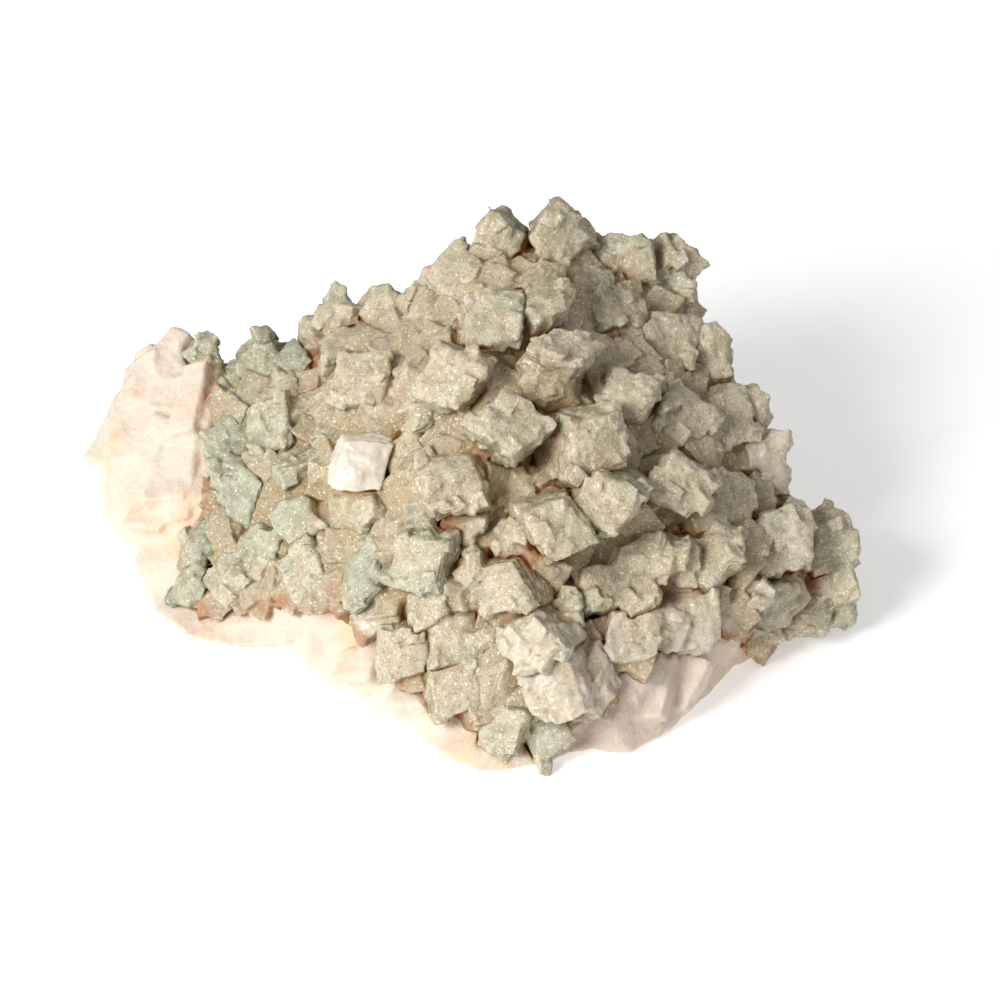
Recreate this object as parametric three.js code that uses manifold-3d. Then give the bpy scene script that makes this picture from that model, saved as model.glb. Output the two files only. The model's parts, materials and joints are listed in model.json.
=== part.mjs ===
// A calcite specimen: blocky rhombohedral crystals standing on a broken block of massive calcite.
//
// Lengths are millimetres and angles degrees. The part's frame is +X right, +Y away from the person
// looking at the display face, and +Z up. The specimen rests on a flat cleavage face at Z = 0.
//
// A specimen has a display face, the side it is looked at from. Places on it are given as
//   across   to the right,
//   up       up the display face, square to the line of sight,
//   toward   towards the person looking, who looks down at DISPLAY_ELEVATION.
import * as THREE from "three";
import { mergeVertices } from "three/addons/utils/BufferGeometryUtils.js";
import Module from "manifold-3d";

const wasm = await Module();
wasm.setup();

// ---------------------------------------------------------------- driving dimensions
const DISPLAY_ELEVATION = 40;
const FACE_ANGLE = 101.9; // the obtuse angle of a calcite cleavage rhomb's face
const WIDTH_PER_EDGE = 1.13; // a rhomb's width across its face, in edge lengths
const ROOT = 3; // how far a crystal's far end is set into the matrix
const FACE_FOLLOWS_RELIEF = 0.6; // 0: main faces look along the line of sight, 1: along the relief
const LEAN_UP = 7; // how far the main faces look up from there
const LEAN_LEFT = 9; // how far they look to the left
const MOST_LEAN = 18; // how far a crystal may lean from that, each way
const GAP = 0.3; // clearance between neighbouring pieces
const FLOOR_CLEARANCE = 0.8; // crystals end this far above the face the specimen rests on
const SLAB_SIZE = 400; // of the block that cuts them off there, wider than the specimen
const CRYSTAL_ROUGHNESS = 0.8;
const MATRIX_ROUGHNESS = 0.7;
const RELIEF_REACH = 5; // radius over which a relief point is flat
const RELIEF_POWER = 3; // how fast a relief point's influence falls off
const SLOPE_STEP = 3; // the relief's slope is taken over this far each way
const FRONT_RINGS = [0.14, 0.28, 0.42, 0.55, 0.68, 0.8, 0.91]; // shares of the way to the rim
const WALL_RINGS = [0.35, 0.7]; // shares of the way from the rim down to the floor
const WALL_BULGE = 2.6; // how far the broken sides stand out, on average
const WALL_ROUGHNESS = 2.2; // unevenness of the broken sides
const FULL_BULGE_HEIGHT = 20; // sides lower than this stand out less
const FACE_ROUGHNESS = 1.2; // unevenness of the front of the matrix
const BOTTOM_EDGE_INSET = 0.9;
const LOWEST_RIM = 1; // the rim's least height
const SIDE_UNDERCUT = 0.22; // inset of the floor edge under an overhanging side, per mm of height
const BACK_BATTER = 0.1; // spread of the back wall towards the floor, per mm of height
const BACK_STARTS = [55, 78]; // the sides turn into the back wall between these Y
const MIDDLE = [4, 46]; // the point on the display face that the rim goes round

// The matrix's rim, anticlockwise from the top left: [across, up, toward].
const RIM = [
  [-61, 78, -50], [-65, 73, -50], [-69, 66, -49], [-70, 59, -46], [-69, 51, -43], [-67, 46, -42],
  [-64, 42, -41], [-64.5, 37, -38], [-62, 32, -36], [-61, 28.5, -33], [-54, 23.5, -27.5],
  [-46, 22, -25.5], [-36, 22.2, -25.5], [-32.5, 19, -22], [-29, 16, -18.5], [-20, 11.5, -13],
  [-13, 8, -9], [-8, 2.8, -2.8], [-2, 0.6, 0], [6, 0.4, 0], [13, 2, -1.5], [20, 4.4, -4.3],
  [27, 3.4, -3], [32, 6, -6], [37, 9.8, -10], [41, 14.5, -13], [45, 18.5, -18], [50, 21.4, -21.5],
  [55, 25, -25.5], [61, 28, -29], [64, 32.5, -30], [65, 38, -28], [63, 43, -25], [56, 48, -27],
  [53, 53, -30], [50, 58, -30], [46, 65, -30], [41, 70, -30], [39, 77, -33], [36, 85, -37],
  [36, 92, -40], [28, 94, -38], [20, 95.5, -34], [13, 98, -32], [5, 96, -31], [-1, 94, -31],
  [-7, 92, -30], [-12, 86.5, -34], [-19, 84, -40], [-28, 82, -44], [-33, 76, -46], [-44, 74.5, -48],
  [-54, 76.5, -49],
];

// Where the crystals' faces lie, and how thick they stand over the matrix:
// [across, up, toward, cover]. A cover of 0 is bare matrix.
const RELIEF = [
  // the pale broken side at the left
  [-60, 68, -42, 0], [-62, 52, -37, 0], [-57, 45, -33, 0], [-58, 60, -38, 0],
  // the pale band along the foot
  [-46, 26, -24, 0], [-31, 26, -17, 0], [-20, 19, -8, 0], [-9, 9, -1, 0], [2, 3, 1, 0],
  // the translucent mass at the lower right
  [26, 9, -1, 0], [31, 16, 1, 0], [38, 19, -3, 0], [46, 22.5, -9, 0],
  // the left shelf
  [-50, 73, -44, 3], [-40, 72, -37, 4], [-46, 62, -33, 4], [-37, 62, -26, 5], [-44, 49, -27, 4],
  [-33, 50, -16, 5], [-45, 36, -23, 4], [-54, 34, -28, 3], [-31, 38, -12, 4],
  // the left flank of the mound
  [-28, 82, -30, 5], [-22, 72, -12, 5], [-20, 54, -5, 5], [-22, 34, -4, 4],
  // the ridge
  [-5, 93, -18, 6], [4, 98, -22, 5], [15, 100, -22, 5], [28, 94, -27, 5], [37, 92, -30, 5],
  // the middle of the mound
  [2, 82, -5, 6], [12, 87, -9, 6], [15, 76, 2, 6], [-6, 71, 2, 6], [6, 63, 6, 6], [22, 59, 6, 6],
  [22, 48, 9, 6], [13, 44, 11, 6], [-6, 52, 6, 5],
  // recesses in the mound
  [20, 82, -26, 10], [16, 66, -8, 9], [22.5, 40, -8, 10], [14, 33, 2, 9], [29, 57, -8, 9],
  // the right flank
  [27, 68, -5, 6], [36, 64, -7, 6], [46, 64, -14, 5], [35, 79, -17, 5], [42, 77, -24, 5],
  [36, 51, -2, 6], [54, 57, -22, 5], [46, 50, -10, 5],
  // the right shelf
  [56, 42, -9, 5], [65, 42, -16, 4], [42, 39, -4, 5], [62, 30, -13, 4], [51, 29, -8, 4],
  [31, 38, -2, 6], [27, 26, 3, 5], [39, 26, -2, 3],
  // the foot of the mound
  [-11, 36, 3, 5], [4, 33, 8, 5], [-12, 22, 1, 4], [-4, 15, 3, 3], [9, 23, 9, 5], [14, 15, 9, 5],
  [7, 8, 4, 3],
];

// The crystals, in the order in which they outgrew each other. Each named crystal is one rhomb, or
// a few grown together: [across, up, width, spin, lift]. spin turns the rhomb's short diagonal
// clockwise from straight up, and lift raises its main face off the relief.
const CRYSTALS = {
  // the middle of the mound, which stands proudest
  centre_crystal_1: [[5.8, 62.8, 11.5, 182, 3]],
  centre_crystal_2: [[21.5, 59, 11.7, 128, 3], [21, 64, 7.5, 120, 3]],
  centre_crystal_3: [[22.5, 48.5, 10.8, 170, 3]],
  centre_crystal_4: [[14.3, 44.3, 11.1, 200, 3]],
  centre_crystal_5: [[15.3, 76.8, 10.3, 172, 4], [12.6, 68.5, 8.6, 200, 2]],
  centre_crystal_6: [[-5.8, 71, 11.2, 160, 2], [1.8, 72, 6.8, 190, 1]],
  centre_crystal_7: [[2.2, 82.3, 11.7, 132, 2]],
  centre_crystal_8: [[11.4, 87, 10.5, 100, 4]],
  centre_crystal_9: [[-5.5, 52.3, 11.5, 215, 1.5]],
  centre_crystal_10: [[-12, 65.2, 9.5, 120, 0], [-13.8, 57, 9, 95, -1]],
  centre_crystal_11: [[-24, 79.4, 11, 110, 3], [-22, 71.4, 11, 140, 1.5], [-16, 73.2, 8, 150, -1]],
  centre_crystal_12: [[-13.5, 78.5, 9.5, 160, -1], [-8, 80, 8, 130, -2]],
  // the ridge along the top
  peak_crystal: [[14, 97.4, 10.4, 272, 2.5], [19, 97.4, 4.5, 200, -1]],
  ridge_crystal_1: [[2.6, 96.2, 9.5, 262, 1], [8, 94, 7.5, 130, -1]],
  ridge_crystal_2: [[-5, 91.2, 11, 262, 2], [-10, 89, 6, 250, -2]],
  ridge_crystal_3: [[-18, 83.6, 9, 95, 1], [-12.6, 84.6, 6, 120, -1]],
  ridge_crystal_4: [[-26.6, 82.8, 9, 80, 0], [-31.4, 79, 8, 60, -2]],
  ridge_crystal_5: [[28, 93.6, 9, 40, 1], [23, 94.5, 7.5, 70, 0], [33, 94.4, 7, 100, -1],
    [37, 92.6, 9, 85, -1], [37.2, 88.6, 4.2, 130, 0]],
  ridge_crystal_6: [[26.3, 85.2, 9.9, 130, 2], [22.4, 90, 5, 140, 2], [26, 79.4, 7, 160, -1]],
  ridge_crystal_7: [[35, 79, 11.1, 150, 2]],
  ridge_crystal_8: [[42, 77.8, 8, 60, 0], [42.6, 74.4, 6, 120, 0]],
  // the right flank and shelf
  right_crystal_1: [[26.5, 68, 10, 150, 0]],
  right_crystal_2: [[36, 64.8, 11.1, 185, 0], [34.3, 67, 3.8, 120, 1.6]],
  right_crystal_3: [[45.3, 64, 11.3, 120, 1], [50, 66.4, 5.5, 60, -2]],
  right_crystal_4: [[36.4, 51.6, 10.6, 178, 2], [30, 54, 7.5, 140, -3]],
  right_crystal_5: [[52.8, 58, 8, 60, 1], [54.2, 52.4, 6, 130, 0]],
  right_crystal_6: [[46, 49.4, 10.2, 150, 0], [50.2, 49.6, 9, 130, 0]],
  right_crystal_7: [[55.4, 41.8, 11.7, 128, 1.5]],
  right_crystal_8: [[64.2, 40.8, 10.1, 118, 0]],
  right_crystal_9: [[41.5, 39, 9.5, 90, 0], [45.3, 43, 5.5, 180, 0], [36, 37, 7, 140, -1]],
  right_crystal_10: [[63.6, 34, 9.9, 110, 0], [60, 28.6, 9.5, 150, 0], [66, 29.5, 5.5, 120, -1],
    [53.4, 29.4, 9.9, 130, 0], [47.6, 32, 7.5, 180, 0]],
  right_crystal_11: [[31, 39, 8.5, 160, 0], [28.6, 32.4, 7.5, 100, 0],
    [22.6, 34, 9.5, 130, 1], [27.2, 36.4, 7, 140, 0.5]],
  right_crystal_12: [[39, 26.6, 10.4, 120, 0], [33.6, 25.4, 8.5, 150, 0], [28, 24.8, 9.8, 140, 0]],
  // the foot of the mound
  foot_crystal_1: [[8.6, 23.4, 10.4, 185, 1.5]],
  foot_crystal_2: [[12.4, 15.4, 11.3, 215, 1], [21, 17, 8.8, 95, 1]],
  foot_crystal_3: [[-11.6, 37.6, 11.1, 150, 1.5], [-11, 45, 6, 130, 0]],
  foot_crystal_4: [[3, 33.4, 10.2, 205, 0], [-2.2, 37.2, 6, 100, 0], [-4.5, 43, 8.5, 150, 0]],
  foot_crystal_5: [[11, 35, 9.5, 160, -1], [7.6, 39.6, 8, 190, -2], [7, 46, 8, 150, -2]],
  foot_crystal_6: [[-4.8, 24, 9.9, 125, 0.5], [0.6, 24.4, 5, 180, -0.5], [-9.8, 30.5, 8.5, 110, 0]],
  foot_crystal_7: [[-14, 21.6, 9.9, 130, 1.5]],
  foot_crystal_8: [[-4.2, 15.6, 10.6, 120, 0.5]],
  foot_crystal_9: [[14.4, 28.4, 8, 120, -1], [15, 23.6, 5.5, 160, -1]],
  foot_crystal_10: [[3.8, 8, 9, 150, 0.5], [11.8, 7.6, 9, 100, 0]],
  foot_crystal_11: [[-22, 35.4, 10.2, 95, 0]],
  // the left shelf
  left_crystal_1: [[-21.4, 55.4, 10.3, 145, 1.5]],
  left_crystal_2: [[-39.4, 62.8, 10.2, 115, 1.5], [-36.6, 68.4, 8.5, 60, 0.5], [-33.8, 65, 7, 100, 0],
    [-30.4, 66.6, 9.9, 120, 0.5]],
  left_crystal_3: [[-33.6, 57, 8, 100, 1], [-29.8, 56.6, 5.5, 95, 0], [-25.4, 60.6, 7.5, 70, -1]],
  left_crystal_4: [[-44.4, 50.6, 10.4, 70, 0], [-45.2, 55.6, 7.5, 60, 0], [-46.4, 60.4, 9.5, 110, 0]],
  left_crystal_5: [[-34, 45.6, 9, 190, 1.5], [-27.4, 46.8, 9, 100, 0], [-22.2, 47.8, 9, 110, 0]],
  left_crystal_6: [[-46.8, 34.6, 8.5, 175, 0.5], [-41.5, 39.8, 9.5, 160, 0]],
  left_crystal_7: [[-52, 41, 8, 120, 0], [-54.6, 33.4, 8.5, 150, 0]],
  left_crystal_8: [[-32.6, 36.4, 10.2, 100, 0]],
  left_crystal_9: [[-41, 74, 9.5, 95, 0], [-35.4, 74.8, 8, 85, 0.5], [-30.6, 73.4, 8.5, 130, 0],
    [-48, 70.8, 9.5, 130, -1], [-52, 76.4, 6.5, 100, 0]],
};

// The crystals behind the ridge, as groups grown together: [X, Y, Z, width, spin, tilt back].
const REAR_CRYSTALS = {
  rear_crystal_1: [[-34, 91, 25, 10, 150, 60], [-27, 92, 29, 10, 110, 65], [-31, 94, 20, 9, 60, 80]],
  rear_crystal_2: [[-15, 91, 35, 10, 120, 60], [-7, 92, 40, 11, 170, 55], [-11, 95, 30, 10, 80, 80],
    [-18, 93, 26, 9, 40, 75]],
  rear_crystal_3: [[7, 93, 44, 11, 130, 55], [15, 94, 45, 11, 160, 60], [11, 97, 35, 11, 100, 80],
    [4, 96, 33, 9, 60, 75]],
  rear_crystal_4: [[28, 95, 41, 11, 140, 60], [33, 92, 40, 10, 90, 55], [31, 98, 33, 10, 120, 80],
    [24, 98, 32, 9, 70, 80]],
  rear_crystal_5: [[41, 80, 30, 10, 150, 50], [45, 74, 24, 9, 110, 45], [43, 82, 21, 10, 60, 70]],
};

const MATRIX_COLOUR = 0xf3e4d3;
const CRYSTAL_COLOUR = 0xb9b39a;
const GREEN_CRYSTAL_COLOUR = 0x9ca795;
const CLEAR_CRYSTAL_COLOUR = 0xe6dfd6;
const CLEAR_CRYSTALS = ["left_crystal_1", "foot_crystal_1", "foot_crystal_2", "right_crystal_5",
  "right_crystal_12"];
const GREEN_CRYSTALS = ["foot_crystal_3", "foot_crystal_11", "left_crystal_4", "left_crystal_6",
  "right_crystal_11", "ridge_crystal_8"];

// ---------------------------------------------------------------- the display face's frame
const radians = THREE.MathUtils.degToRad;
const lookUp = Math.sin(radians(DISPLAY_ELEVATION));
const lookAlong = Math.cos(radians(DISPLAY_ELEVATION));
const ACROSS = new THREE.Vector3(1, 0, 0);
const UP = new THREE.Vector3(0, lookUp, lookAlong);
const TOWARD = new THREE.Vector3(0, -lookAlong, lookUp);

function place(across, up, toward) {
  return new THREE.Vector3()
    .addScaledVector(ACROSS, across)
    .addScaledVector(UP, up)
    .addScaledVector(TOWARD, toward);
}

// Repeatable unevenness between -1 and 1.
function unevenness(i, j) {
  const s = Math.sin(i * 127.1 + j * 311.7) * 43758.5453;
  return 2 * (s - Math.floor(s)) - 1;
}

// The relief at a place on the display face: how far it stands out, and the crystals' cover there.
const RELIEF_POINTS = [...RELIEF, ...RIM.map(([across, up, toward]) => [across, up, toward, 0])];

function relief(across, up) {
  let weights = 0;
  let toward = 0;
  let cover = 0;
  for (const [a, u, t, c] of RELIEF_POINTS) {
    const distance = Math.max(Math.hypot(across - a, up - u), RELIEF_REACH);
    const weight = distance ** -RELIEF_POWER;
    weights += weight;
    toward += weight * t;
    cover += weight * c;
  }
  return { toward: toward / weights, cover: cover / weights };
}

function reliefNormal(across, up) {
  const step = SLOPE_STEP;
  const slopeAcross = (relief(across + step, up).toward - relief(across - step, up).toward) / (2 * step);
  const slopeUp = (relief(across, up + step).toward - relief(across, up - step).toward) / (2 * step);
  return new THREE.Vector3()
    .addScaledVector(ACROSS, -slopeAcross * FACE_FOLLOWS_RELIEF)
    .addScaledVector(UP, -slopeUp * FACE_FOLLOWS_RELIEF)
    .add(TOWARD)
    .normalize();
}

// ---------------------------------------------------------------- solids
function solidOf(geometry) {
  geometry.deleteAttribute("normal");
  geometry.deleteAttribute("uv");
  const merged = mergeVertices(geometry, 1e-4);
  return new wasm.Manifold(
    new wasm.Mesh({
      numProp: 3,
      vertProperties: merged.attributes.position.array,
      triVerts: new Uint32Array(merged.index.array),
    }),
  );
}

function geometryOf(solid) {
  const mesh = solid.getMesh();
  const points = new Float32Array(mesh.numVert * 3);
  for (let i = 0; i < mesh.numVert; i++) {
    points.set(mesh.vertProperties.subarray(i * mesh.numProp, i * mesh.numProp + 3), i * 3);
  }
  const geometry = new THREE.BufferGeometry();
  geometry.setAttribute("position", new THREE.BufferAttribute(points, 3));
  geometry.setIndex(new THREE.BufferAttribute(mesh.triVerts, 1));
  return geometry.toNonIndexed();
}

function largestBody(solid) {
  return solid.decompose().reduce((best, body) => (body.volume() > best.volume() ? body : best));
}

function join(solids) {
  return solids.reduce((whole, solid) => whole.add(solid));
}

// A calcite rhomb. Its main face is square to normal with its middle at face, and its short
// diagonal is turned by spin, clockwise from upright. reach is the least distance from the main
// face to the far one. grow moves every face outwards.
function rhomb({ face, normal, upright, width, spin, reach }, grow = 0) {
  const short = upright.clone().addScaledVector(normal, -upright.dot(normal)).normalize();
  short.applyAxisAngle(normal, -radians(spin));
  const long = new THREE.Vector3().crossVectors(normal, short);
  const half = radians(FACE_ANGLE / 2);
  const lean = Math.cos(radians(FACE_ANGLE)) / Math.cos(half);
  const edge1 = short.clone().multiplyScalar(Math.cos(half)).addScaledVector(long, Math.sin(half));
  const edge2 = short.clone().multiplyScalar(Math.cos(half)).addScaledVector(long, -Math.sin(half));
  const edge3 = short.clone().multiplyScalar(lean);
  edge3.addScaledVector(normal, -Math.sqrt(1 - lean * lean));

  const length = width / WIDTH_PER_EDGE;
  const depth = Math.max(length, reach / Math.abs(edge3.dot(normal)));
  const middle = face.clone().addScaledVector(edge3, depth / 2);
  // Opposite faces are this much closer together than the edge between them is long.
  const squareness = Math.abs(edge3.dot(normal)) * Math.sin(radians(FACE_ANGLE));
  const extra = (2 * grow) / squareness;
  const box = new THREE.BoxGeometry(1, 1, 1);
  const shape = new THREE.Matrix4().makeBasis(
    edge1.multiplyScalar(length + extra),
    edge2.multiplyScalar(length + extra),
    edge3.multiplyScalar(depth + extra),
  );
  box.applyMatrix4(shape.setPosition(middle));
  return solidOf(box);
}

function displayRhomb([across, up, width, spin, lift]) {
  const { toward, cover } = relief(across, up);
  const face = place(across, up, toward + lift);
  const normal = reliefNormal(across, up)
    .applyAxisAngle(UP, radians(MOST_LEAN * unevenness(across, up) - LEAN_LEFT))
    .applyAxisAngle(ACROSS, radians(MOST_LEAN * unevenness(up, across) - LEAN_UP));
  return { face, normal, upright: UP, width, spin, reach: cover + lift + ROOT };
}

function rearRhomb([x, y, z, width, spin, tilt]) {
  const normal = new THREE.Vector3(0, Math.sin(radians(tilt)), Math.cos(radians(tilt)));
  return { face: new THREE.Vector3(x, y, z), normal, upright: ACROSS, width, spin, reach: 0 };
}

// ---------------------------------------------------------------- the matrix
function matrixRings() {
  const rings = FRONT_RINGS.map((share, ring) =>
    RIM.map(([a, u], i) => {
      const across = MIDDLE[0] + share * (a - MIDDLE[0]);
      const up = MIDDLE[1] + share * (u - MIDDLE[1]);
      const { toward, cover } = relief(across, up);
      return place(across, up, toward - cover + FACE_ROUGHNESS * unevenness(ring, i));
    }),
  );
  const rim = RIM.map(([a, u, t]) => place(a, u, t));
  rim.forEach((point) => (point.z = Math.max(point.z, LOWEST_RIM)));
  const centre = rim.reduce((sum, p) => sum.add(p), new THREE.Vector3()).divideScalar(rim.length);
  const foot = rim.map((point) => {
    const inwards = new THREE.Vector3(centre.x - point.x, centre.y - point.y, 0).normalize();
    const back = THREE.MathUtils.smoothstep(point.y, ...BACK_STARTS);
    const share = SIDE_UNDERCUT * (1 - back) - BACK_BATTER * back;
    const moved = point.clone().addScaledVector(inwards, BOTTOM_EDGE_INSET + share * point.z);
    moved.z = 0;
    return moved;
  });
  const walls = WALL_RINGS.map((share, ring) =>
    rim.map((point, i) => {
      const between = point.clone().lerp(foot[i], share);
      const outwards = new THREE.Vector3(point.x - centre.x, point.y - centre.y, 0).normalize();
      const room = Math.min(1, point.z / FULL_BULGE_HEIGHT);
      const bulge = WALL_BULGE + WALL_ROUGHNESS * unevenness(rings.length + ring, i);
      return between.addScaledVector(outwards, bulge * room);
    }),
  );
  return [...rings, rim, ...walls, foot];
}

function matrixSolid() {
  const rings = matrixRings();
  const { toward, cover } = relief(...MIDDLE);
  const front = place(...MIDDLE, toward - cover);
  const foot = rings.at(-1);
  const under = foot.reduce((sum, p) => sum.add(p), new THREE.Vector3()).divideScalar(foot.length);
  const triangles = [];
  const spokes = RIM.length;
  for (let i = 0; i < spokes; i++) {
    const next = (i + 1) % spokes;
    triangles.push(front, rings[0][i], rings[0][next]);
    for (let ring = 1; ring < rings.length; ring++) {
      const [inner, outer] = [rings[ring - 1], rings[ring]];
      triangles.push(inner[i], outer[i], inner[next], inner[next], outer[i], outer[next]);
    }
    triangles.push(foot[i], under, foot[next]);
  }
  return solidOf(new THREE.BufferGeometry().setFromPoints(triangles));
}

// ---------------------------------------------------------------- the specimen
function slab() {
  const box = new THREE.BoxGeometry(SLAB_SIZE, SLAB_SIZE, SLAB_SIZE);
  box.translate(0, 0, FLOOR_CLEARANCE - SLAB_SIZE / 2);
  return solidOf(box);
}

function colourOf(name) {
  if (CLEAR_CRYSTALS.includes(name)) return CLEAR_CRYSTAL_COLOUR;
  return GREEN_CRYSTALS.includes(name) ? GREEN_CRYSTAL_COLOUR : CRYSTAL_COLOUR;
}

function meshOf(name, solid, color, roughness) {
  const material = new THREE.MeshStandardMaterial({ color, roughness, metalness: 0 });
  const mesh = new THREE.Mesh(geometryOf(solid), material);
  mesh.name = name;
  return mesh;
}

function makeSpecimen() {
  const clusters = [
    ...Object.entries(CRYSTALS).map(([name, rows]) => [name, rows.map(displayRhomb)]),
    ...Object.entries(REAR_CRYSTALS).map(([name, rows]) => [name, rows.map(rearRhomb)]),
  ];
  const specimen = new THREE.Group();
  let taken = slab();
  for (const [name, rhombs] of clusters) {
    const grown = join(rhombs.map((shape) => rhomb(shape)));
    specimen.add(meshOf(name, largestBody(grown.subtract(taken)), colourOf(name), CRYSTAL_ROUGHNESS));
    taken = taken.add(join(rhombs.map((shape) => rhomb(shape, GAP))));
  }
  const sockets = taken.subtract(slab());
  const matrix = largestBody(matrixSolid().subtract(sockets));
  specimen.add(meshOf("matrix", matrix, MATRIX_COLOUR, MATRIX_ROUGHNESS));
  return specimen;
}

// Stands the specimen with the middle of its base, as seen from above, at the origin.
function centred(specimen) {
  const box = new THREE.Box3().setFromObject(specimen);
  specimen.position.set(-(box.min.x + box.max.x) / 2, -(box.min.y + box.max.y) / 2, -box.min.z);
  return specimen;
}

export default centred(makeSpecimen());
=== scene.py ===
"""A calcite specimen: drusy rhombohedral crystals piled on a broken block of massive calcite.

Every length is in metres, in the CAD part's frame: +X right, +Y away from the viewer, +Z up.
"""
import json
import math
from itertools import product

import bpy
import numpy as np
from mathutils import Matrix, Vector
from mathutils.bvhtree import BVHTree


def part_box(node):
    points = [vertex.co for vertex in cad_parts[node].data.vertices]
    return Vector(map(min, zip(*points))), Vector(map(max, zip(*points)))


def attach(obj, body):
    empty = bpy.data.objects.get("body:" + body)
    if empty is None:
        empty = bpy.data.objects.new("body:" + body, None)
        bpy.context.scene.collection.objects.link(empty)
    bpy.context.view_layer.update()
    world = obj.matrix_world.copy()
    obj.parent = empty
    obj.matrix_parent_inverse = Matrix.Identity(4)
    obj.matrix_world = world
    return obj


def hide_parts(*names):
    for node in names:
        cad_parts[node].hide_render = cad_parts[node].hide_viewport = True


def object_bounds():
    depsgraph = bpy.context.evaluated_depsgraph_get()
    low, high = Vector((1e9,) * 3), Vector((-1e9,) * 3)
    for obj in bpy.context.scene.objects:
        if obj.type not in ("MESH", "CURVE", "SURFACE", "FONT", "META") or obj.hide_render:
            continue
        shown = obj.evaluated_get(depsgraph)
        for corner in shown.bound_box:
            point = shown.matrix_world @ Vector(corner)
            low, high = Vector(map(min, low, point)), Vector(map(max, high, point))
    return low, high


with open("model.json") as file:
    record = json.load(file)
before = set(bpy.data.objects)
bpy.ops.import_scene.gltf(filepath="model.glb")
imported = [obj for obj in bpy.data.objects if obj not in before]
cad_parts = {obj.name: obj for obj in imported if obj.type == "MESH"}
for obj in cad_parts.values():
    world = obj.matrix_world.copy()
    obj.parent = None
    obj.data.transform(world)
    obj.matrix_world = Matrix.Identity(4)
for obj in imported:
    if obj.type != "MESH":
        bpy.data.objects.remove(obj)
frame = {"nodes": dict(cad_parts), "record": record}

MM = 0.001
CAD_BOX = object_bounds()

# The display face is looked at from this far above the horizon.
DISPLAY_ELEVATION = math.radians(40)
TOWARD = np.array([0, -math.cos(DISPLAY_ELEVATION), math.sin(DISPLAY_ELEVATION)])
UP = np.array([0, math.sin(DISPLAY_ELEVATION), math.cos(DISPLAY_ELEVATION)])
BACKWARD = np.array([0, 0.9, 0.44])  # up and away: the back's light side
DISPLAY_MIDDLE = np.array([5.1, -11.5, 32.6]) * MM

# A calcite rhomb: the obtuse angle of its faces, and how its third edge leans from a face's normal.
FACE_ANGLE = math.radians(101.9)
LEAN = math.cos(FACE_ANGLE) / math.cos(FACE_ANGLE / 2)

CRYSTAL_VOXEL = 0.30 * MM
MATRIX_VOXEL = 0.45 * MM
CRYSTAL_SMOOTHING = 12  # rounds of smoothing after a mesh is fused
SMALL_CRYSTAL_SMOOTHING = 5
MATRIX_SMOOTHING = 16
GRID_STEP = 1.0 * MM
GRAIN = 0.32 * MM
PLATE_THICKNESS = 1.15 * MM
PLATE_GROOVE = 0.30 * MM
TERRACE_THICKNESS = 1.2 * MM
NEAR_REACH = 3.5 * MM  # a place is sheltered when the space round it is full, this far out
FAR_REACH = 7 * MM
CROWD_REACH = 9 * MM
CARPET_SPACING = 2.0 * MM
CARPET_NEAREST, CARPET_FARTHEST = 0.5 * MM, 9 * MM  # from a large crystal
CARPET_LOWEST = 3 * MM
STEP_SPACING = 4.6 * MM  # of the broken steps on the bare matrix
LEFTWARDS_FROM, LEFTWARDS_OVER = 12 * MM, 28 * MM  # where the druse turns greener
DOME = 0.06  # how far a crystal's faces swell, against their width

# Small rhombs on a crystal: their spacing, smallest and largest edge, and how far out they reach.
MAIN_BUDS = (3.6 * MM, 1.8 * MM, 4.2 * MM, 0.85)
SIDE_BUDS = (2.8 * MM, 1.4 * MM, 3.4 * MM, 1.0)

# How much of these crystals is smooth and clear or pearly white instead of drusy.
BARE_SHARES = {
    "left_crystal_1": 1.0,
    "right_crystal_5": 0.6,
    "right_crystal_7": 0.42,
    "right_crystal_12": 0.52,
    "foot_crystal_1": 0.5,
    "foot_crystal_2": 0.56,
    "foot_crystal_10": 0.4,
    "left_crystal_2": 0.36,
    "left_crystal_3": 0.36,
}


# ---------------------------------------------------------------- solids as arrays
def arrays_of(mesh):
    """A mesh's points and triangles, with the points at one place joined."""
    points = np.empty(len(mesh.vertices) * 3)
    mesh.vertices.foreach_get("co", points)
    mesh.calc_loop_triangles()
    triangles = np.empty(len(mesh.loop_triangles) * 3, dtype=np.int32)
    mesh.loop_triangles.foreach_get("vertices", triangles)
    grid = np.round(points.reshape(-1, 3) / (0.001 * MM)).astype(np.int64)
    places, index = np.unique(grid, axis=0, return_inverse=True)
    return places * 0.001 * MM, index.ravel()[triangles.reshape(-1, 3)]


def unit(vector):
    return vector / np.linalg.norm(vector)


def turned(vector, axis, angle):
    """vector, square to axis, turned about it."""
    return vector * math.cos(angle) + np.cross(axis, vector) * math.sin(angle)


def long_edges(points, triangles, normal):
    """Unit vectors along a flat face's longest edge and its next one, which meets it at an angle."""
    sides = [triangles[:, [0, 1]], triangles[:, [1, 2]], triangles[:, [2, 0]]]
    edges = np.sort(np.vstack(sides), axis=1)
    edges, uses = np.unique(edges, axis=0, return_counts=True)
    spans = np.diff(points[edges[uses == 1]], axis=1)[:, 0]
    spans = spans[np.argsort(-np.linalg.norm(spans, axis=1))]
    first = unit(spans[0])
    for span in spans[1:6]:
        if abs(unit(span) @ first) < 0.45:
            return first, unit(span)
    return first, turned(first, normal, FACE_ANGLE)


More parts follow.
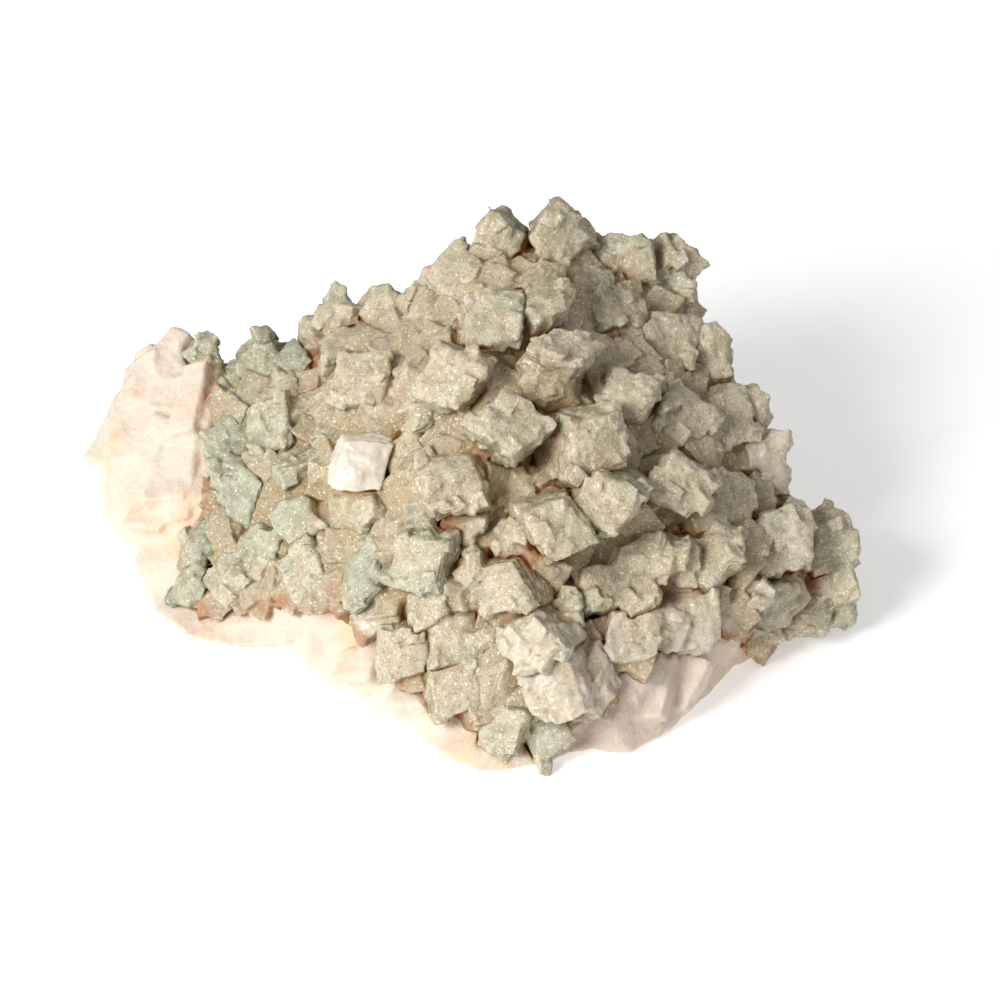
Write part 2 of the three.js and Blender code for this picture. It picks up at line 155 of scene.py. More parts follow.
def flat_faces(points, triangles, least_area):
    """The flat faces of a faceted solid, largest first."""
    corners = points[triangles]
    cross = np.cross(corners[:, 1] - corners[:, 0], corners[:, 2] - corners[:, 0])
    areas = np.linalg.norm(cross, axis=1) / 2
    normals = cross / np.maximum(2 * areas, 1e-15)[:, None]
    left = areas > 1e-12
    faces = []
    for first in np.argsort(-areas):
        if not left[first]:
            continue
        off_plane = np.abs((corners - corners[first, 0]) @ normals[first]).max(axis=1)
        rows = left & (off_plane < 0.02 * MM) & (normals @ normals[first] > 0.99)
        left &= ~rows
        area = areas[rows].sum()
        if area < least_area:
            continue
        along, beside = long_edges(points, triangles[rows], normals[first])
        faces.append({
            "normal": normals[first],
            "area": area,
            "along": along,
            "beside": beside,
            "corners": corners[rows],
            "shares": areas[rows] / area,
            "middle": areas[rows] @ corners[rows].mean(axis=1) / area,
        })
    return sorted(faces, key=lambda face: -face["area"])


def points_on(face, count, rng):
    """Random points spread evenly over a flat face."""
    rows = rng.choice(len(face["shares"]), size=count, p=face["shares"])
    s, t = rng.random((2, count))
    over = s + t > 1
    s[over], t[over] = 1 - s[over], 1 - t[over]
    a, b, c = (face["corners"][rows, i] for i in range(3))
    return a + s[:, None] * (b - a) + t[:, None] * (c - a)


# ---------------------------------------------------------------- the space the specimen fills
class FilledSpace:
    """Which cells of a grid round the specimen are inside it, read from the CAD solids."""

    MARGIN = 12

    def __init__(self, trees, low, high):
        self.low = np.array(low) - self.MARGIN * GRID_STEP
        counts = np.ceil((np.array(high) - self.low) / GRID_STEP).astype(int) + self.MARGIN
        self.filled = np.zeros(counts, dtype=np.float32)
        top = high[2] + GRID_STEP
        for tree, (tree_low, tree_high) in trees:
            first = np.floor((np.array(tree_low) - self.low) / GRID_STEP).astype(int)
            last = np.ceil((np.array(tree_high) - self.low) / GRID_STEP).astype(int)
            for i, j in product(range(first[0], last[0] + 1), range(first[1], last[1] + 1)):
                x, y = self.low[:2] + (np.array([i, j]) + 0.5) * GRID_STEP
                for high_z, low_z in self.spans(tree, x, y, top):
                    ends = (np.array([low_z, high_z]) - self.low[2]) / GRID_STEP
                    bottom, above = ends.round().astype(int)
                    self.filled[i, j, bottom:above] = 1

    @staticmethod
    def spans(tree, x, y, z):
        """The stretches of the vertical line through x, y that lie inside a closed solid."""
        heights = []
        while True:
            hit = tree.ray_cast(Vector((x, y, z)), Vector((0, 0, -1)))[0]
            if hit is None:
                break
            heights.append(hit.z)
            z = hit.z - 0.01 * MM
        return list(zip(heights[0::2], heights[1::2]))

    def at(self, points, field=None):
        """The grid's value at each point."""
        field = self.filled if field is None else field
        cells = np.floor((points - self.low) / GRID_STEP).astype(int)
        cells = np.clip(cells, 0, np.array(field.shape) - 1)
        return field[cells[:, 0], cells[:, 1], cells[:, 2]]

    def blurred(self, radius):
        """How full the space is within about radius of each cell."""
        field = self.filled
        cells = max(1, round(radius / GRID_STEP / 1.7))
        for axis in (0, 1, 2) * 3:
            pad = [(0, 0)] * 3
            pad[axis] = (cells + 1, cells)
            sums = np.cumsum(np.pad(field, pad, mode="edge"), axis=axis)
            size = 2 * cells + 1
            ahead = np.take(sums, range(size, sums.shape[axis]), axis=axis)
            behind = np.take(sums, range(0, sums.shape[axis] - size), axis=axis)
            field = (ahead - behind) / size
        return field


def smooth_lookup(space, field, points):
    """A field's value at each point, blended between the grid's cells."""
    place = (points - space.low) / GRID_STEP - 0.5
    cell = np.clip(np.floor(place).astype(int), 0, np.array(field.shape) - 2)
    part = np.clip(place - cell, 0, 1)
    total = np.zeros(len(points))
    for step in product((0, 1), repeat=3):
        weight = np.prod(np.where(step, part, 1 - part), axis=1)
        i, j, k = (cell + step).T
        total += weight * field[i, j, k]
    return total


def noise(points, lump, seed):
    """Smooth noise between -1 and 1, with lumps about that size."""
    place = points / lump + seed * 17.31
    cell = np.floor(place)
    part = place - cell
    part = part * part * (3 - 2 * part)
    total = np.zeros(len(points))
    for step in product((0, 1), repeat=3):
        spun = np.sin((cell + step) @ np.array([127.1, 311.7, 74.7])) * 43758.5453
        weight = np.prod(np.where(step, part, 1 - part), axis=1)
        total += weight * (2 * (spun - np.floor(spun)) - 1)
    return total


# ---------------------------------------------------------------- growing the crystals
BOX_CORNERS = np.array(list(product((-1, 1), repeat=3)))
BOX_QUADS = np.array([
    [0, 1, 3, 2], [4, 6, 7, 5], [0, 4, 5, 1],
    [2, 3, 7, 6], [0, 2, 6, 4], [1, 5, 7, 3],
])


def block(centre, a, b, c):
    """The corners of a slanted box from its middle and its three half edges."""
    if np.cross(a, b) @ c < 0:
        c = -c
    return centre + BOX_CORNERS @ np.array([a, b, c])


def terraces(face, space, rng):
    """Low growth steps on a crystal's main face, as thin plates with the face's own outline."""
    reach = math.sqrt(face["area"])
    count = int(face["area"] / (9 * MM * MM)) + 1
    plates = []
    for middle in points_on(face, count, rng):
        middle = face["middle"] + 0.55 * (middle - face["middle"])
        rise = rng.uniform(0.15, 0.55) * MM
        if space.at((middle + 1.2 * MM * face["normal"])[None])[0]:
            continue
        a = face["along"] * reach * rng.uniform(0.10, 0.26)
        b = face["beside"] * reach * rng.uniform(0.10, 0.26)
        centre = middle + face["normal"] * (rise - TERRACE_THICKNESS)
        spin = rng.normal(0, 0.12)
        a, b = turned(a, face["normal"], spin), turned(b, face["normal"], spin)
        plates.append(block(centre, a, b, face["normal"] * TERRACE_THICKNESS))
    return plates


def rhomb(middle, normal, a, half):
    """A calcite rhomb with a face looking along normal, an edge along a, and edges of 2 * half."""
    b = turned(a, normal, FACE_ANGLE)
    c = unit((a + b) / np.linalg.norm(a + b) * LEAN - normal * math.sqrt(1 - LEAN ** 2))
    return block(middle, a * half, b * half, c * half)


def buds(face, space, rng, spacing, smallest, largest, spread):
    """Small rhombs that stand on a face, nearly parallel to the crystal they grow on."""
    count = rng.poisson(face["area"] / spacing ** 2)
    rhombs = []
    for middle in points_on(face, count, rng):
        middle = face["middle"] + spread * (middle - face["middle"])
        if space.at((middle + 1.5 * MM * face["normal"])[None])[0]:
            continue
        normal = unit(face["normal"] + rng.normal(0, 0.3, 3))
        a = unit(face["along"] - face["along"] @ normal * normal)
        half = rng.uniform(smallest, largest) / 2
        sunk = half * rng.uniform(0.45, 0.9)
        rhombs.append(rhomb(middle - normal * sunk, normal, a, half))
    return rhombs


def domed(points, faces):
    """The points, with each flat face swollen a little towards its middle."""
    moved = points.copy()
    for face in faces:
        reach = math.sqrt(face["area"])
        away = points - face["middle"]
        off_plane = away @ face["normal"]
        in_plane = np.linalg.norm(away - off_plane[:, None] * face["normal"], axis=1)
        share = np.clip(1 - (in_plane / (0.65 * reach)) ** 2, 0, 1)
        share *= np.clip(1 - np.abs(off_plane) / (2 * MM), 0, 1)
        moved += (DOME * reach * share)[:, None] * face["normal"]
    return moved


def depth_below(points, faces):
    """How far each point is below the face it is nearest to the middle of, seen from above."""
    drops, spreads = [], []
    for face in faces:
        away = points - face["middle"]
        above = away @ face["normal"]
        drops.append(-above)
        spreads.append(np.linalg.norm(away - above[:, None] * face["normal"], axis=1))
    nearest = np.argmin(spreads, axis=0)
    return np.array(drops)[nearest, np.arange(len(points))]


def plate_edges(points, normals, main):
    """The grooves between the thin plates a crystal is stacked from, on its sides: 0 to 1."""
    side = np.clip(1.4 - 2.2 * np.abs(normals @ main), 0, 1)
    patch = np.clip(0.35 + 1.8 * noise(points, 5 * MM, 6), 0, 1)
    plate = points @ main / PLATE_THICKNESS + 0.8 * noise(points, 2.5 * MM, 5)
    part = plate - np.floor(plate)
    return side * patch * np.clip(1 - 3 * np.abs(part - 0.5), 0, 1)


def new_object(name, points, faces):
    mesh = bpy.data.meshes.new(name)
    mesh.from_pydata(points.tolist(), [], faces)
    piece = bpy.data.objects.new(name, mesh)
    bpy.context.collection.objects.link(piece)
    return piece


def fused(name, points, triangles, blocks, voxel, smoothing):
    """One closed mesh of a solid and the blocks that stand in it."""
    faces = triangles.tolist()
    start = len(points)
    if blocks:
        points = np.vstack([points] + blocks)
        for i in range(len(blocks)):
            faces.extend((BOX_QUADS + start + 8 * i).tolist())
    rough = new_object(name + "_rough", points, faces)
    remesh = rough.modifiers.new("fuse", "REMESH")
    remesh.mode = "VOXEL"
    remesh.voxel_size = voxel
    smooth = rough.modifiers.new("smooth", "SMOOTH")
    smooth.iterations = smoothing
    smooth.factor = 0.5
    solved = rough.evaluated_get(bpy.context.evaluated_depsgraph_get())
    mesh = bpy.data.meshes.new_from_object(solved)
    bpy.data.objects.remove(rough)
    mesh.name = name
    piece = bpy.data.objects.new(name, mesh)
    bpy.context.collection.objects.link(piece)
    return piece


def points_and_normals(mesh):
    points = np.empty(len(mesh.vertices) * 3)
    normals = np.empty(len(mesh.vertices) * 3)
    mesh.vertices.foreach_get("co", points)
    mesh.vertices.foreach_get("normal", normals)
    return points.reshape(-1, 3), normals.reshape(-1, 3)


def store(mesh, name, values):
    attribute = mesh.attributes.new(name, "FLOAT", "POINT")
    attribute.data.foreach_set("value", values.astype(np.float32))


def move(mesh, points):
    mesh.vertices.foreach_set("co", points.ravel())
    mesh.update()


def weather(piece, space, hollows, fronts, swell, lump, grain):
    """Roughens a piece's surface, and notes on it how sheltered each place is and how far it faces
    any of the directions in fronts."""
    mesh = piece.data
    points, normals = points_and_normals(mesh)
    store(mesh, "facing", (normals @ np.transpose(fronts)).max(axis=1))
    store(mesh, "near_hollow", smooth_lookup(space, hollows[0], points + normals * 1.0 * MM))
    store(mesh, "far_hollow", smooth_lookup(space, hollows[1], points + normals * 2.0 * MM))
    height = swell * noise(points, 3.4 * MM, 1) + lump * noise(points, 1.5 * MM, 3)
    height += grain * noise(points, 0.75 * MM, 2)
    moved = points + normals * height[:, None]
    moved[:, 2] = np.maximum(moved[:, 2], 0)
    mesh.polygons.foreach_set("use_smooth", np.ones(len(mesh.polygons), dtype=bool))
    move(mesh, moved)


# ---------------------------------------------------------------- materials
class Shader:
    """A material's nodes, made one at a time."""

    def __init__(self, name):
        self.material = bpy.data.materials.new(name)
        self.material.use_nodes = True
        self.tree = self.material.node_tree
        self.surface = self.tree.nodes["Principled BSDF"]
        coordinates = self.tree.nodes.new("ShaderNodeTexCoord")
        self.place = coordinates.outputs["Object"]

    def link(self, value, socket):
        if isinstance(value, bpy.types.NodeSocket):
            self.tree.links.new(value, socket)
        else:
            socket.default_value = value

    def noise(self, lump, detail=3.0, roughness=0.55):
        node = self.tree.nodes.new("ShaderNodeTexNoise")
        self.tree.links.new(self.place, node.inputs["Vector"])
        node.inputs["Scale"].default_value = 1 / lump
        node.inputs["Detail"].default_value = detail
        node.inputs["Roughness"].default_value = roughness
        return node.outputs["Fac"]

    def grains(self, size):
        """(a random number for each grain, the distance from the grain's middle)."""
        node = self.tree.nodes.new("ShaderNodeTexVoronoi")
        self.tree.links.new(self.place, node.inputs["Vector"])
        node.inputs["Scale"].default_value = 1 / size
        split = self.tree.nodes.new("ShaderNodeSeparateColor")
        self.tree.links.new(node.outputs["Color"], split.inputs["Color"])
        return split.outputs["Red"], node.outputs["Distance"]

    def attribute(self, name):
        node = self.tree.nodes.new("ShaderNodeAttribute")
        node.attribute_name = name
        return node.outputs["Fac"]

    def math(self, operation, a, b, clamp=False):
        node = self.tree.nodes.new("ShaderNodeMath")
        node.operation = operation
        node.use_clamp = clamp
        self.link(a, node.inputs[0])
        self.link(b, node.inputs[1])
        return node.outputs[0]

    def ramp(self, value, low, high, to_low=0.0, to_high=1.0):
        """value's place between low and high, smoothed, as a number from to_low to to_high."""
        node = self.tree.nodes.new("ShaderNodeMapRange")
        node.interpolation_type = "SMOOTHSTEP"
        self.link(value, node.inputs["Value"])
        limits = {"From Min": low, "From Max": high, "To Min": to_low, "To Max": to_high}
        for socket, number in limits.items():
            node.inputs[socket].default_value = number
        return node.outputs["Result"]

    def mix(self, share, a, b):
        node = self.tree.nodes.new("ShaderNodeMix")
        node.data_type = "RGBA"
        self.link(share, node.inputs["Factor"])
        self.link(a, node.inputs["A"])
        self.link(b, node.inputs["B"])
        return node.outputs["Result"]

    def bump(self, height, depth, strength, under=None):
        node = self.tree.nodes.new("ShaderNodeBump")
        node.inputs["Distance"].default_value = depth
        node.inputs["Strength"].default_value = strength
        self.link(height, node.inputs["Height"])
        if under is not None:
            self.tree.links.new(under, node.inputs["Normal"])
        return node.outputs["Normal"]

    def finish(self, colour, roughness, normal, translucence=0.0, depth=0.0):
        """The material, which lets that share of the light in, to about that depth."""
        self.link(colour, self.surface.inputs["Base Color"])
        self.link(roughness, self.surface.inputs["Roughness"])
        self.link(normal, self.surface.inputs["Normal"])
        self.surface.inputs["Subsurface Weight"].default_value = translucence
        self.surface.inputs["Subsurface Radius"].default_value = (1.0, 0.88, 0.74)
        self.surface.inputs["Subsurface Scale"].default_value = depth
        return self.material


def colour(code):
    """A linear colour from a hexadecimal screen colour."""
    parts = [int(code[i : i + 2], 16) / 255 for i in (0, 2, 4)]
    linear = [p / 12.92 if p <= 0.04045 else ((p + 0.055) / 1.055) ** 2.4 for p in parts]
    return (*linear, 1.0)


BEIGE = colour("BEAB8A")
PALE_BEIGE = colour("D1C4A9")
GREEN = colour("8F947B")
PALE_GREEN = colour("B3B9A2")
OLIVE_SPECK_AND_GRAIN_SHADE = colour("75653F")
SHADED_OLIVE = colour("786845")
SHADED_GREEN = colour("777D63")
TAN = colour("AB9268")
BROWN = colour("936C3E")
RUST = colour("A9612E")
PAINTED_HOLLOW_SHADE = colour("2A2116")
WHITE = colour("F2E9DC")
PAINTED_TOP_HIGHLIGHT = colour("D8CEB7")
PEARL = colour("DACBB7")
CREAM = colour("E8D8C5")
PEACH = colour("EFC79A")
PINKISH = colour("E0CFBE")


def druse_colour(shader, green_bias):
    """(colour, random number per grain): beige grains over green-grey ones, browner in the hollows
    partly as painted shade, with painted shade on the turned-away sides, at the grain edges and deep
    in the hollows, a painted highlight on the exposed tops and painted glints on the brightest grains.
    """
    grain, apart = shader.grains(GRAIN)
    facing = shader.attribute("facing")
    tint = shader.attribute("tint")
    patches = shader.noise(8 * MM)
    mottle = shader.noise(2.2 * MM)
    steep = shader.ramp(facing, 0.1, 0.7, 0.55, 0.0)
    patchy = shader.ramp(patches, 0.42, 0.64, 0.0, 0.6)
    green = shader.math("ADD", steep, patchy)
    green = shader.math("ADD", green, shader.ramp(tint, 0.3, 1.5, -0.3, 0.45))
    green = shader.math("ADD", green, green_bias, clamp=True)
    beige = shader.mix(shader.ramp(mottle, 0.35, 0.65), BEIGE, PALE_BEIGE)
    greens = shader.mix(shader.ramp(mottle, 0.35, 0.65), GREEN, PALE_GREEN)
    tone = shader.mix(green, beige, greens)
    # Painted shade: faces turned away from the piece's fronts take a darker olive or green.
    shaded = shader.mix(shader.ramp(patches, 0.45, 0.6), SHADED_OLIVE, SHADED_GREEN)
    tone = shader.mix(shader.ramp(facing, 0.1, 0.8, 0.75, 0.0), tone, shaded)
    uneven = shader.ramp(shader.noise(5 * MM), 0.3, 0.6, 0.3, 1.0)
    tone = shader.mix(shader.math("MULTIPLY", shader.attribute("low"), uneven), tone, TAN)
    near = shader.attribute("near_hollow")
    # Painted highlight: the exposed tops, where the space round is empty, are paler.
    tone = shader.mix(shader.ramp(near, 0.12, 0.30, 0.3, 0.0), tone, PAINTED_TOP_HIGHLIGHT)
    # Painted shade at the grain edges, darker olive towards each grain's rim; then real dark specks on
    # a few grains.
    tone = shader.mix(shader.ramp(apart, 0.45, 0.9, 0.0, 0.3), tone, OLIVE_SPECK_AND_GRAIN_SHADE)
    tone = shader.mix(shader.ramp(grain, 0.10, 0.05, 0.0, 0.4), tone, OLIVE_SPECK_AND_GRAIN_SHADE)
    # Painted glints: the brightest few grains are mixed towards white.
    tone = shader.mix(shader.ramp(grain, 0.90, 0.96, 0.0, 0.65), tone, WHITE)
    tone = shader.mix(shader.math("MULTIPLY", shader.attribute("plates"), 0.35), tone, BROWN)
    far = shader.attribute("far_hollow")
    # Browner where the space round is full: the brown druse of the gaps, and partly painted shade.
    sheltered = shader.ramp(near, 0.25, 0.55)
    tone = shader.mix(shader.math("MULTIPLY", sheltered, 0.85), tone, BROWN)
    stained = shader.math("ADD", sheltered, shader.attribute("stain"), clamp=True)
    rusty = shader.math("MULTIPLY", stained, shader.ramp(shader.noise(6 * MM), 0.48, 0.60))
    tone = shader.mix(shader.math("MULTIPLY", rusty, 0.6), tone, RUST)
    # Painted shade: near black deep in the hollows.
    painted_deep_shade = shader.ramp(far, 0.52, 0.80, 0.0, 0.85)
    return shader.mix(painted_deep_shade, tone, PAINTED_HOLLOW_SHADE), grain


def druse(name, green_bias):
    """A coat of fine grains, with smooth pearly calcite showing where the crystal is bare."""
    shader = Shader(name)
    tone, grain = druse_colour(shader, green_bias)
    _, rise = shader.grains(GRAIN)
    bare = shader.math("ADD", shader.attribute("bare"), shader.noise(4 * MM))
    wholly_bare = shader.ramp(bare, 1.25, 1.5, 0.5, 0.95)
    bare = shader.ramp(bare, 0.85, 1.2)
    pearl = shader.mix(shader.noise(1.5 * MM), PEARL, WHITE)
    tone = shader.mix(shader.math("MULTIPLY", bare, wholly_bare), tone, pearl)
    coated = shader.ramp(bare, 0, 1, 1.0, 0.15)
    grains = shader.math("MULTIPLY", shader.math("SUBTRACT", 1.0, rise), coated)
    normal = shader.bump(grains, 0.12 * MM, 0.6)
    rough = shader.ramp(grain, 0.84, 0.92, 0.62, 0.2)
    rough = shader.math("MULTIPLY", rough, shader.ramp(bare, 0, 1, 1.0, 0.5))
    return shader.finish(tone, rough, normal, 0.35, 2.2 * MM)


def massive_calcite(name):
    """The pale broken matrix: cream, stained peach and rust near the crystals, and among them the
    druse's colours, brown and painted shade in the hollows.
    """
    shader = Shader(name)
    stain = shader.ramp(shader.noise(14 * MM, detail=6), 0.46, 0.68)
    veins = shader.ramp(shader.noise(5 * MM, detail=8, roughness=0.7), 0.56, 0.70)
    tone = shader.mix(shader.math("MULTIPLY", stain, 0.55), CREAM, PEACH)
    tone = shader.mix(shader.math("MULTIPLY", veins, 0.35), tone, PEACH)
    tone = shader.mix(shader.attribute("clear"), tone, PINKISH)
    cracks = shader.ramp(shader.noise(2.5 * MM, detail=8, roughness=0.7), 0.60, 0.66, 0.0, 0.8)
    tone = shader.mix(shader.math("MULTIPLY", cracks, shader.attribute("clear")), tone, WHITE)
    crust = shader.attribute("crust")
    # The druse's colours, with their painted shade, painted highlight and painted glints.
    grown = druse_colour(shader, 0.1)[0]
    edge = shader.math("ADD", crust, shader.math("MULTIPLY", shader.noise(3 * MM), 0.5))
    line = shader.ramp(edge, 0.3, 0.55)
    rim = shader.math("MULTIPLY", line, shader.ramp(shader.noise(5 * MM), 0.42, 0.62, 0.0, 0.6))
    tone = shader.mix(rim, tone, RUST)
    tone = shader.mix(shader.ramp(edge, 0.5, 0.7), tone, grown)
    rises = shader.noise(1.1 * MM, detail=6, roughness=0.65)
    normal = shader.bump(rises, 0.6 * MM, 0.7)
    rough = shader.ramp(shader.noise(0.8 * MM), 0.35, 0.65, 0.32, 0.6)
    return shader.finish(tone, rough, normal, 0.3, 3 * MM)


# ---------------------------------------------------------------- the specimen
def leftwards(points):
    """How far into the greener left end each point is: 0 to 1."""
    return np.clip((-points[:, 0] - LEFTWARDS_FROM) / LEFTWARDS_OVER, 0, 1)


def crystal_piece(name, solid, seed, space, hollows):
    """The crystal of a CAD node, with its growth steps, its ledges and the small rhombs on it."""
    rng = np.random.default_rng(seed)
    points, triangles = solid
    faces = flat_faces(points, triangles, 3 * MM * MM)
    main = max(faces, key=lambda face: face["area"] * (1.3 + face["normal"] @ TOWARD))["normal"]
    bare = BARE_SHARES.get(name, 0.0)
    blocks = []
    for face in faces:
        is_main = abs(face["normal"] @ main) > 0.6
        if is_main:
            blocks += terraces(face, space, rng)
        if bare < 1:
            blocks += buds(face, space, rng, *(MAIN_BUDS if is_main else SIDE_BUDS))
    piece = fused("look_" + name, points, triangles, blocks, CRYSTAL_VOXEL, CRYSTAL_SMOOTHING)
    mesh = piece.data
    points, normals = points_and_normals(mesh)
    points = domed(points, faces)
    grooves = plate_edges(points, normals, main)
    store(mesh, "plates", grooves)
    move(mesh, points - PLATE_GROOVE * grooves[:, None] * normals)
    weather(piece, space, hollows, [main, 0.8 * TOWARD], 0.34 * MM, 0.16 * MM, 0.13 * MM)
    store(mesh, "tint", rng.uniform(0, 1) + 0.6 * leftwards(points))
    tops = [face for face in faces if face["normal"] @ main > 0.6]
    store(mesh, "low", 0.8 * np.clip((depth_below(points, tops) - 2.5 * MM) / (6 * MM), 0, 1))
    store(mesh, "bare", np.full(len(points), bare))
    return piece


def druse_cover(points, space, crowding):
    """How surely each point is among the crystals, and not on the bare rock beside or below them."""
    away = points - DISPLAY_MIDDLE
    away -= (away @ TOWARD)[:, None] * TOWARD
    away /= np.linalg.norm(away, axis=1)[:, None]
    away -= np.maximum(away @ UP, 0)[:, None] * UP
    crowded = smooth_lookup(space, crowding, points + 6 * MM * away)
    return np.clip((crowded - 0.03) / 0.06, 0, 1)


def carpet_piece(matrix, crystals_tree, crowding, space, hollows):
    """The small crystals that cover the matrix between the large ones."""
    rng = np.random.default_rng(7)
    points, triangles = matrix
    rhombs = []
    for face in flat_faces(points, triangles, 0.5 * MM * MM):
        count = rng.poisson(face["area"] / CARPET_SPACING ** 2)
        for middle in points_on(face, count, rng):
            distance = crystals_tree.find_nearest(Vector(middle))[3]
            if not CARPET_NEAREST < distance < CARPET_FARTHEST or middle[2] < CARPET_LOWEST:
                continue
            if druse_cover(middle[None], space, crowding)[0] < rng.uniform(0.3, 0.8):
                continue
            if smooth_lookup(space, hollows[1], (middle + face["normal"] * 2 * MM)[None])[0] > 0.74:
                continue
            normal = unit(face["normal"] + 0.6 * TOWARD + rng.normal(0, 0.25, 3))
            if face["normal"] @ TOWARD < -0.2:
                normal = unit(face["normal"] + rng.normal(0, 0.25, 3))
            a = unit(np.cross(normal, rng.normal(0, 1, 3)))
            half = rng.uniform(2.2, 6.6) * MM / 2
            rhombs.append(rhomb(middle - normal * half * 0.05, normal, a, half))
    name = "look_small_crystals"
    piece = fused(name, rhombs[0], BOX_QUADS, rhombs[1:], CRYSTAL_VOXEL, SMALL_CRYSTAL_SMOOTHING)
    weather(piece, space, hollows, [TOWARD, BACKWARD], 0.3 * MM, 0.25 * MM, 0.10 * MM)
    points = points_and_normals(piece.data)[0]
    store(piece.data, "tint", 0.5 + 0.5 * noise(points, 9 * MM, 4) + 0.6 * leftwards(points))
    store(piece.data, "bare", 0.25 + 0.3 * noise(points, 7 * MM, 9))
    store(piece.data, "low", np.full(len(points), 0.8))
    store(piece.data, "stain", 1 - druse_cover(points, space, crowding))
    return piece


def cleavage_steps(points, triangles, space, crowding, rng):
    """Flat-topped steps on the broken faces of the matrix, all cut along the same three planes."""
    normal = unit(TOWARD + 0.35 * UP - np.array([0.45, 0, 0]))
    a = unit(UP + 0.2 * TOWARD)
    a = unit(a - a @ normal * normal)
    steps = []
    for face in flat_faces(points, triangles, 0.3 * MM * MM):
        if face["normal"][2] < -0.9:
            continue
        count = rng.poisson(face["area"] / STEP_SPACING ** 2)
        for middle in points_on(face, count, rng):
            if druse_cover(middle[None], space, crowding)[0] > 0.6:
                continue
            half = rng.uniform((3.0, 1.5, 1.2), (9.0, 4.5, 2.6)) * MM
            tilted = unit(normal + rng.normal(0, 0.2, 3))
            first = unit(a + rng.normal(0, 0.2, 3))
            first = unit(first - first @ tilted * tilted)
            edges = np.array([first, turned(first, tilted, FACE_ANGLE), tilted]) * half[:, None]
            reach = np.abs(edges @ face["normal"]).sum()
            centre = middle - face["normal"] * (reach - rng.uniform(-0.2, 0.9) * MM)
            if centre[2] < np.abs(edges[:, 2]).sum() + 0.5 * MM:
                continue
            steps.append(block(centre, *edges))
    return steps


def matrix_piece(matrix, crowding, space, hollows):
    """The massive calcite, stepped where it is bare and drusy among the crystals."""
    points, triangles = matrix
    steps = cleavage_steps(points, triangles, space, crowding, np.random.default_rng(11))
    piece = fused("look_matrix", points, triangles, steps, MATRIX_VOXEL, MATRIX_SMOOTHING)
    mesh = piece.data
    points, normals = points_and_normals(mesh)
    squeezed = points - 0.75 * (points @ UP)[:, None] * UP
    ridges = 0.5 * noise(squeezed, 4 * MM, 12) + 0.12 * noise(points, 1.6 * MM, 13)
    points = points + ridges[:, None] * normals * MM
    points[:, 2] = np.maximum(points[:, 2], 0)
    move(mesh, points)
    cover = druse_cover(points, space, crowding)
    store(mesh, "crust", cover)
    store(mesh, "low", 0.85 * cover)
    store(mesh, "stain", 1 - cover)
    clear_middle = np.array([30, CAD_BOX[0][1] / MM + 12, 4]) * MM
    clear_reach = np.array([18, 14, 14]) * MM
    spread = np.linalg.norm((points - clear_middle) / clear_reach, axis=1)
    store(mesh, "clear", np.clip(1.6 - spread, 0, 1))
    store(mesh, "tint", 0.5 + 0.5 * noise(points, 12 * MM, 8))
    weather(piece, space, hollows, [TOWARD, BACKWARD], 0.25 * MM, 0.12 * MM, 0.10 * MM)
    return piece


def build_specimen():
    solids = {name: arrays_of(node.data) for name, node in frame["nodes"].items()}
    trees = {name: BVHTree.FromPolygons(p.tolist(), t.tolist()) for name, (p, t) in solids.items()}
    boxes = {name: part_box(name) for name in solids}
    space = FilledSpace([(trees[name], boxes[name]) for name in solids], *CAD_BOX)
    hollows = (space.blurred(NEAR_REACH), space.blurred(FAR_REACH))
    materials = {
        "crystal": druse("beige_druse", 0.0),
        "green_crystal": druse("green_druse", 0.2),
        "clear_crystal": druse("thin_druse", -0.15),
        "matrix": massive_calcite("massive_calcite"),
    }
    slots = {part["node"]: part["material_slot"] for part in frame["record"]["subparts"]}
    crystals = {name: solid for name, solid in solids.items() if name != "matrix"}
    offset = 0
    points, triangles = [], []
    for p, t in crystals.values():
        points.append(p)
        triangles.append(t + offset)
        offset += len(p)
    crystals_tree = BVHTree.FromPolygons(np.vstack(points).tolist(), np.vstack(triangles).tolist())
    made = []
    for seed, (name, solid) in enumerate(crystals.items()):
        made.append((crystal_piece(name, solid, seed, space, hollows), name, slots[name]))
    crystal_space = FilledSpace([(trees[name], boxes[name]) for name in crystals], *CAD_BOX)
    crowding = crystal_space.blurred(CROWD_REACH)
    made.append((matrix_piece(solids["matrix"], crowding, space, hollows), "matrix", "matrix"))
    carpet = carpet_piece(solids["matrix"], crystals_tree, crowding, space, hollows)
    made.append((carpet, None, "crystal"))
    for piece, node, slot in made:
        piece.data.materials.clear()
        piece.data.materials.append(materials[slot])
        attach(piece, "root")
        if node:
            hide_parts(node)


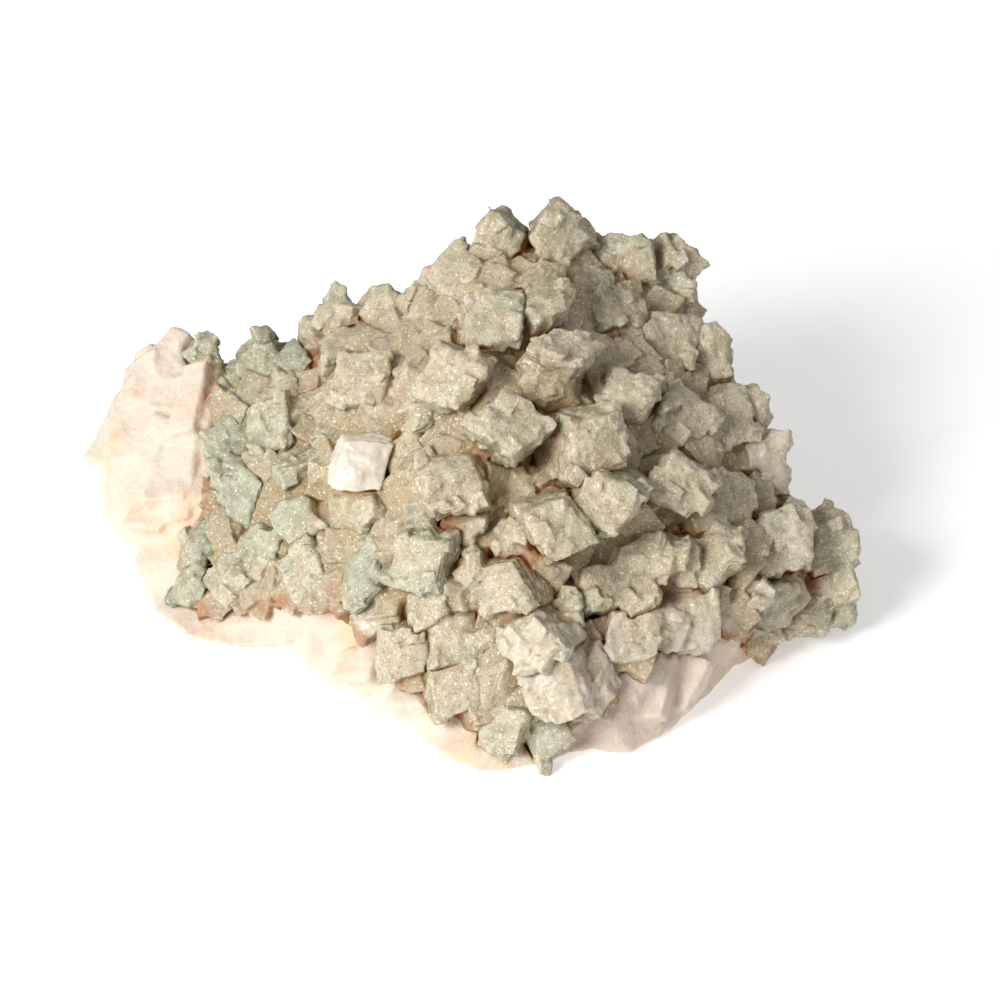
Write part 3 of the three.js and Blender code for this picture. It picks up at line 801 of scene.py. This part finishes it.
# ---------------------------------------------------------------- the studio
FLOOR_REACH = 3.0
FLOOR_GLOW = 0.36
WORLD_GLOW = 0.36
LAMP_PLACE = Vector((-0.55, -0.48, 0.58))
LAMP_SIZE = 0.40
LAMP_POWER = 8.0
VIEW_DISTANCE = 1.2
VIEW_WIDTH = 0.1813  # what the camera takes in at the specimen


def build_floor():
    corners = FLOOR_REACH * np.array([[-1, -1, 0], [1, -1, 0], [1, 1, 0], [-1, 1, 0]])
    floor = new_object("floor", corners, [[0, 1, 2, 3]])
    shader = Shader("white_floor")
    tint = shader.ramp(shader.noise(0.4), 0.3, 0.7, 0.97, 1.0)
    white = shader.mix(tint, colour("F6F6F6"), colour("FFFFFF"))
    grain = shader.bump(shader.noise(0.02), 0.0001, 0.02)
    floor.data.materials.append(shader.finish(white, 0.35, grain))
    shader.surface.inputs["Emission Color"].default_value = (1, 1, 1, 1)
    shader.surface.inputs["Emission Strength"].default_value = FLOOR_GLOW


def build_light():
    """Even white light from all round, and one large soft lamp at the upper left."""
    world = bpy.data.worlds.new("studio")
    world.use_nodes = True
    world.node_tree.nodes["Background"].inputs["Color"].default_value = (1, 1, 1, 1)
    world.node_tree.nodes["Background"].inputs["Strength"].default_value = WORLD_GLOW
    bpy.context.scene.world = world
    lamp = bpy.data.lights.new("key", "AREA")
    lamp.size = LAMP_SIZE
    lamp.energy = LAMP_POWER
    light = bpy.data.objects.new("key", lamp)
    light.location = LAMP_PLACE
    middle = (Vector(CAD_BOX[0]) + Vector(CAD_BOX[1])) / 2
    light.rotation_euler = (middle - LAMP_PLACE).to_track_quat("-Z", "Y").to_euler()
    bpy.context.collection.objects.link(light)


def build_camera():
    camera = bpy.data.cameras.new("camera")
    camera.lens = camera.sensor_width * VIEW_DISTANCE / VIEW_WIDTH
    camera.clip_start = 0.01
    eye = bpy.data.objects.new("camera", camera)
    eye.location = Vector(DISPLAY_MIDDLE + TOWARD * VIEW_DISTANCE)
    eye.rotation_euler = (math.pi / 2 - DISPLAY_ELEVATION, 0, 0)
    bpy.context.collection.objects.link(eye)
    bpy.context.scene.camera = eye
    bpy.context.scene.view_settings.view_transform = "Standard"


build_specimen()
build_floor()
build_light()
build_camera()
